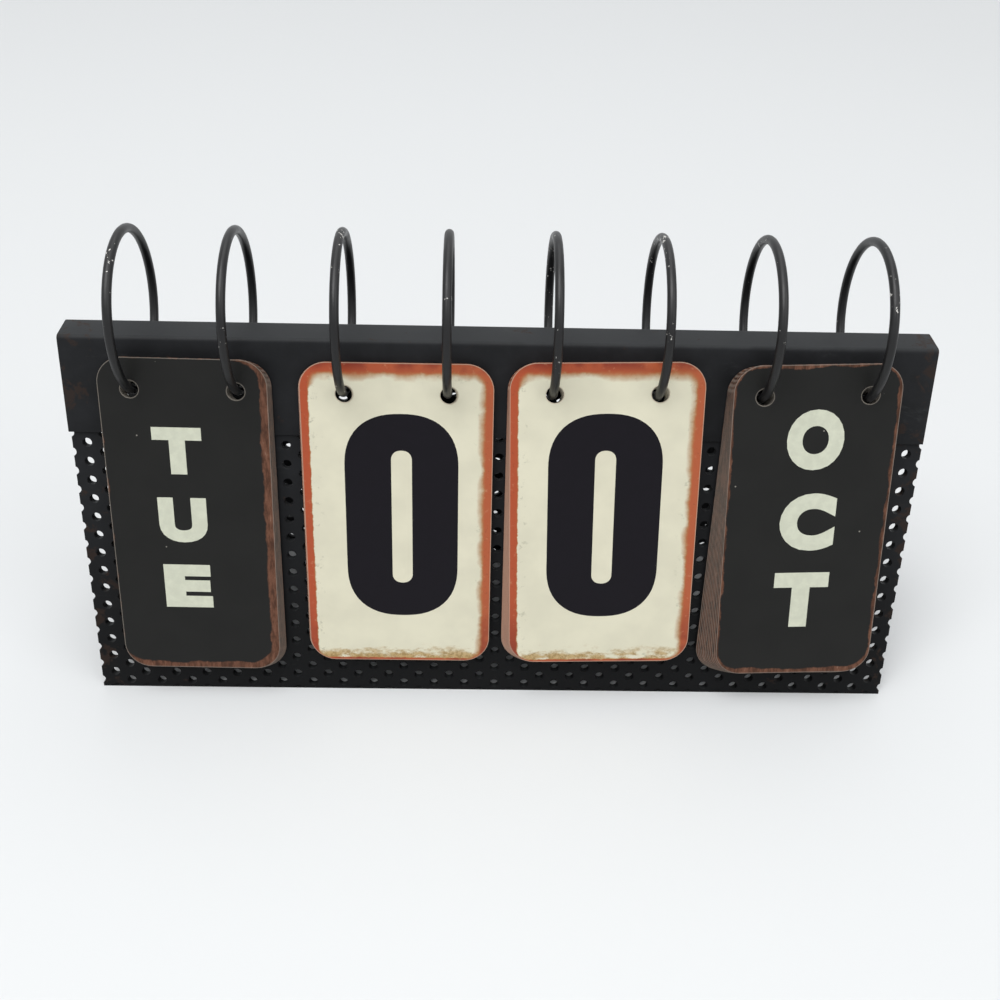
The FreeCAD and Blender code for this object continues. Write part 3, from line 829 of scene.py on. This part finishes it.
# The packs from left to right, as in the frame: what is printed on the cards, from the rearmost to the
# front one, how far the holes hang below the wire's middle, the sideways shift and the tilt of the
# rearmost and the front card, and how far right the print lies. Letters also have a size, the first
# one's drop below the holes and their pitch.
PACKS = (
    {
        "name": "weekday", "kind": "plate", "texts": WEEKDAYS,
        "hang": 0.4 * MM, "shift": (0.7 * MM, 0), "tilt": (0, math.radians(-0.5)),
        "print_shift": -3 * MM, "letter": (15.2 * MM, 15.4 * MM), "drop": 19.6 * MM, "pitch": 23.3 * MM,
    },
    {
        "name": "tens", "kind": "number", "texts": "3210",
        "hang": 0.5 * MM, "shift": (0, 0.5 * MM), "tilt": (0, 0), "print_shift": 1.2 * MM,
    },
    {
        "name": "ones", "kind": "number", "texts": "9876543210",
        "hang": 0, "shift": (0, 0.5 * MM), "tilt": (0, math.radians(1.3)), "print_shift": 0.1 * MM,
    },
    {
        "name": "month", "kind": "plate", "texts": MONTHS,
        "hang": -0.05 * MM, "shift": (-0.6 * MM, 0), "tilt": (math.radians(-1.0), math.radians(2.0)),
        "print_shift": 0.6 * MM, "letter": (17.6 * MM, 19.8 * MM), "drop": 14.0 * MM, "pitch": 27.6 * MM,
    },
)


def card_frame(order, number):
    """Where a card hangs: X through its two holes, Z up the card, Y through it."""
    s, pack = sizes(), PACKS[order]
    share = (number - 1) / (len(pack["texts"]) - 1)
    shift = pack["shift"][0] * (1 - share) + pack["shift"][1] * share
    tilt = pack["tilt"][0] * (1 - share) + pack["tilt"][1] * share
    out = s.card_gap + s.card_sheet / 2 + (number - 1) * s.card_step
    x = (ring_x(2 * order) + ring_x(2 * order + 1)) / 2 + shift
    place = move((x, *on_skirt(wire_drop(out) + pack["hang"], out)))
    return place @ Matrix.Rotation(-s.lean, 4, "X") @ Matrix.Rotation(-tilt, 4, "Y")


def rounded_sheet(width, height, radius, steps, fullness=0.5):
    """A flat sheet in the XZ plane with rounded corners; a fuller corner is squarer."""
    plate = flat_sheet(width, height)
    edit(plate)
    everything()
    bpy.ops.mesh.bevel(offset=radius, segments=steps, profile=fullness, affect="VERTICES")
    return plate


def blank_card(width, height):
    """One card in its own frame: a plate with rounded corners and two punched holes."""
    s = sizes()
    card = rounded_sheet(width, height, s.corner_radius, CORNER_STEPS)
    settle(card, move((0, 0, s.punch_setback - height / 2)))
    modify(card, "SOLIDIFY", thickness=s.card_sheet, offset=0)
    for side in (-1, 1):
        close()
        bpy.ops.mesh.primitive_cylinder_add(
            vertices=FACE_HOLE_STEPS, radius=s.punch_radius, depth=s.card_sheet * 4,
            location=(side * s.ring_pitch / 2, 0, 0), rotation=(math.pi / 2, 0, 0),
        )
        punch = bpy.context.object
        modify(card, "BOOLEAN", operation="DIFFERENCE", object=punch)
        bpy.data.objects.remove(punch)
    soften(card, s.card_edge)
    smooth(card)
    # the large faces shade flat, whatever the small ones beside them do
    modify(card, "WEIGHTED_NORMAL", keep_sharp=True)
    # the card's own map: 0 to 1 across and up its face
    chart = card.data.uv_layers.new(name="card")
    for corner in card.data.loops:
        place = card.data.vertices[corner.vertex_index].co
        chart.data[corner.index].uv = (place.x / width + 0.5, (place.z - s.punch_setback) / height + 1)
    return card


def print_character(character, size, centre, boldness):
    """One printed character, fitted to a box on the card's face."""
    close()
    bpy.ops.object.text_add(rotation=(math.pi / 2, 0, 0))
    text = bpy.context.object
    text.data.body = TURNED.get(character, character)
    text.data.resolution_u = LETTER_STEPS
    text.data.offset = boldness
    bpy.ops.object.convert(target="MESH")
    glyph = settle(bpy.context.object)
    if character in TURNED:
        settle(glyph, Matrix.Rotation(math.pi, 4, "Y"))
    xs, _, zs = zip(*(v.co for v in glyph.data.vertices))
    wide, tall = max(xs) - min(xs), max(zs) - min(zs)
    to_middle = move((-(max(xs) + min(xs)) / 2, 0, -(max(zs) + min(zs)) / 2))
    fit = Matrix.Diagonal((size[0] * NARROW.get(character, 1) / wide, 1, size[1] / tall, 1))
    return settle(glyph, move(centre) @ fit @ to_middle)


def print_zero(centre):
    """A block zero with a long slot: two round-ended outlines, bridged."""
    s = sizes()
    outer, slot = (
        rounded_sheet(width, height, width * ZERO_END, FIGURE_STEPS, fullness)
        for width, height, fullness in (
            (s.zero_width, s.zero_height, ZERO_FULLNESS), (s.slot_width, s.slot_height, SLOT_FULLNESS)
        )
    )
    pick(slot, outer)
    bpy.ops.object.join()
    edit(outer, "EDGE")
    everything()
    bpy.ops.mesh.delete(type="ONLY_FACE")
    everything()
    bpy.ops.mesh.bridge_edge_loops()
    return settle(outer, move(centre))


class CALENDAR_OT_cards(Operator):
    """Cuts the cards, punches them and hangs them on the rings"""

    bl_idname = "calendar.cards"
    bl_label = "Cards"

    def execute(self, context):
        s = sizes()
        blanks = {
            "plate": blank_card(s.plate_width, s.plate_height),
            "number": blank_card(s.number_width, s.number_height),
        }
        enamel = number_enamel()
        # how wide the plates' borders are worn: on the left, on the right, at the foot and at the top
        weekday_wear = (-0.2 * MM, 2.5 * MM, 2.0 * MM, -0.1 * MM)
        month_wear = (0.6 * MM, 0.9 * MM, 1.6 * MM, 0.8 * MM)
        finishes = (
            plate_lacquer("worn_black_weekday_plate", *weekday_wear),
            enamel,
            enamel,
            plate_lacquer("worn_black_month_plate", *month_wear),
        )
        for order, pack in enumerate(PACKS):
            slot = "number_card" if pack["kind"] == "number" else "plate_card"
            for number in range(1, len(pack["texts"]) + 1):
                pick(blanks[pack["kind"]])
                bpy.ops.object.duplicate()
                node = "%s_card_%d" % (pack["name"], number)
                card = name_piece("painted_" + node)
                # its own wear: a number that no other card has
                seed = card.data.attributes.new("seed", "FLOAT", "POINT")
                seed.data.foreach_set("value", [number + order * 20.0] * len(card.data.vertices))
                settle(card, card_frame(order, number))
                dress(card, finishes[order], slot, node, node)
        for blank in blanks.values():
            bpy.data.objects.remove(blank)
        return {"FINISHED"}


class CALENDAR_OT_print(Operator):
    """Prints the figures and letters on the cards' faces"""

    bl_idname = "calendar.print"
    bl_label = "Figures and letters"

    def execute(self, context):
        s, c = sizes(), colours()
        figures = print_ink("black_figure_ink", c.figure)
        letters = print_ink("cream_letter_ink", c.letter)
        for order, pack in enumerate(PACKS):
            for number, text in enumerate(pack["texts"], 1):
                centre = (pack["print_shift"], -s.card_sheet / 2, -s.figure_drop)
                if text == "0":
                    glyphs = [print_zero(centre)]
                elif pack["kind"] == "number":
                    size = (s.figure_width, s.figure_height)
                    glyphs = [print_character(text, size, centre, FIGURE_BOLDNESS)]
                else:
                    glyphs = self.stack(text, pack)
                pick(*glyphs)
                if len(glyphs) > 1:
                    bpy.ops.object.join()
                node = "%s_card_%d" % (pack["name"], number)
                print_layer = name_piece(node + "_print")
                modify(print_layer, "SOLIDIFY", thickness=s.paint_thickness, offset=0)
                settle(print_layer, card_frame(order, number))
                bpy.ops.object.shade_flat()
                # each ink is passed the slot name of the other cards, which have its colour
                if pack["kind"] == "number":
                    dress(print_layer, figures, "plate_card", node)
                else:
                    dress(print_layer, letters, "number_card", node)
        return {"FINISHED"}

    def stack(self, text, pack):
        """Letters, one below the other."""
        glyphs = []
        for place, letter in enumerate(text):
            down = pack["drop"] + place * pack["pitch"]
            centre = (pack["print_shift"], -sizes().card_sheet / 2, -down)
            glyphs.append(print_character(letter, pack["letter"], centre, LETTER_BOLDNESS))
        return glyphs


class CALENDAR_OT_stage(Operator):
    """Sets the table, the lamps, the world and the camera"""

    bl_idname = "calendar.stage"
    bl_label = "Table, lamps and camera"

    def execute(self, context):
        scene = context.scene
        close()
        bpy.ops.mesh.primitive_plane_add(size=FLOOR_SIDE)
        floor = name_piece("table_top")
        material, tree, shader = new_material("pale_table_top")
        # pale to the eye and in reflections, but it throws less light back up at the stand
        bounced = add(tree, "ShaderNodeLightPath", output="Is Diffuse Ray")
        dark = shade_of(colours().floor, FLOOR_BOUNCE)
        top = add(tree, MIX, {0: bounced, 6: colours().floor, 7: dark}, **COATS)
        tree.links.new(top, shader.inputs["Base Color"])
        shader.inputs["Roughness"].default_value = FLOOR_ROUGHNESS
        # far from the stand it runs into the pale backdrop, for the camera and in reflections
        far = add(tree, VECTOR, (add(tree, PLACE, output="Object"),), "Value", operation="LENGTH")
        far = add(tree, RANGE, (far, FADE_START, FADE_END, 0.0, 1.0), **SOFT)
        far = add(tree, MATH, (far, self.seen(tree)), **TIMES)
        pale = add(tree, "ShaderNodeEmission", {"Color": BACKDROP, "Strength": BACKDROP_STRENGTH})
        both = add(tree, "ShaderNodeMixShader", {0: far, 1: shader.outputs[0], 2: pale})
        tree.links.new(both, tree.nodes["Material Output"].inputs["Surface"])
        floor.data.materials.append(material)
        for name, power, size, spot, aim in LAMPS:
            bpy.ops.object.light_add(type="AREA", location=spot)
            lamp = context.object
            lamp.name = name
            lamp.data.energy = power
            lamp.data.size = size
            lamp.rotation_euler = (Vector(aim) - Vector(spot)).to_track_quat("-Z", "Y").to_euler()
        world = bpy.data.worlds.new("studio")
        world.use_nodes = True
        # pale to the camera and in reflections, and a weak fill light otherwise
        air = world.node_tree
        strength = add(air, RANGE, (self.seen(air), 0.0, 1.0, FILL_STRENGTH, BACKDROP_STRENGTH))
        air.links.new(strength, air.nodes["Background"].inputs["Strength"])
        air.nodes["Background"].inputs["Color"].default_value = BACKDROP
        scene.world = world
        scene.view_settings.view_transform = "Standard"
        self.camera(scene)
        return {"FINISHED"}

    def seen(self, tree):
        """1 for the camera's rays and for those that gloss or glass send on, and 0 for others."""
        rays = [
            add(tree, "ShaderNodeLightPath", output="Is %s Ray" % kind)
            for kind in ("Camera", "Glossy", "Transmission")
        ]
        either = add(tree, MATH, rays[:2], **HIGHEST)
        return add(tree, MATH, (either, rays[2]), **HIGHEST)

    def camera(self, scene):
        """The photograph's camera, fitted to the ends of the stand and the rings."""
        bpy.ops.object.camera_add()
        camera = bpy.context.object
        camera.name = "view"
        focal_px, picture_px = 1132.3, 1000
        axis_px = (493.0, 500.35)
        camera.data.sensor_width = 36  # mm, of a full-frame camera
        camera.data.lens = camera.data.sensor_width * focal_px / picture_px
        camera.data.shift_x = (picture_px / 2 - axis_px[0]) / picture_px
        camera.data.shift_y = (axis_px[1] - picture_px / 2) / picture_px
        heading, pitch, roll = math.radians(-1.404), math.radians(38.09), math.radians(1.667)
        turn = (
            Matrix.Rotation(heading, 4, "Z")
            @ Matrix.Rotation(math.pi / 2 - pitch, 4, "X")
            @ Matrix.Rotation(roll, 4, "Z")
        )
        across, ahead, up = -8.38 * MM, 303.6 * MM, 291.85 * MM
        camera.matrix_world = move((across, MIDDLE_Y - ahead, up)) @ turn
        scene.camera = camera


class CALENDAR_PT_panel(Panel):
    """Lists the calendar's sizes, colours and building steps"""

    bl_idname = "CALENDAR_PT_panel"
    bl_label = "Desk calendar"
    bl_space_type = "VIEW_3D"
    bl_region_type = "UI"
    bl_category = "Calendar"

    def draw(self, context):
        for group in (context.scene.calendar_sizes, context.scene.calendar_colours):
            box = self.layout.box()
            for name in group.bl_rna.properties.keys():
                if name not in ("rna_type", "name"):
                    box.prop(group, name)
        for operator in OPERATORS:
            self.layout.operator(operator.bl_idname)


OPERATORS = (
    CALENDAR_OT_cap, CALENDAR_OT_screens, CALENDAR_OT_rings,
    CALENDAR_OT_cards, CALENDAR_OT_print, CALENDAR_OT_stage,
)
CLASSES = (CalendarSizes, CalendarColours, *OPERATORS, CALENDAR_PT_panel)


def register():
    for item in CLASSES:
        bpy.utils.register_class(item)
    bpy.types.Scene.calendar_sizes = PointerProperty(type=CalendarSizes)
    bpy.types.Scene.calendar_colours = PointerProperty(type=CalendarColours)


def unregister():
    del bpy.types.Scene.calendar_colours
    del bpy.types.Scene.calendar_sizes
    for item in reversed(CLASSES):
        bpy.utils.unregister_class(item)


def main():
    register()
    bpy.ops.calendar.cap()
    bpy.ops.calendar.screens()
    bpy.ops.calendar.rings()
    bpy.ops.calendar.cards()
    bpy.ops.calendar.print()
    bpy.ops.calendar.stage()


if __name__ == "__main__":
    main()
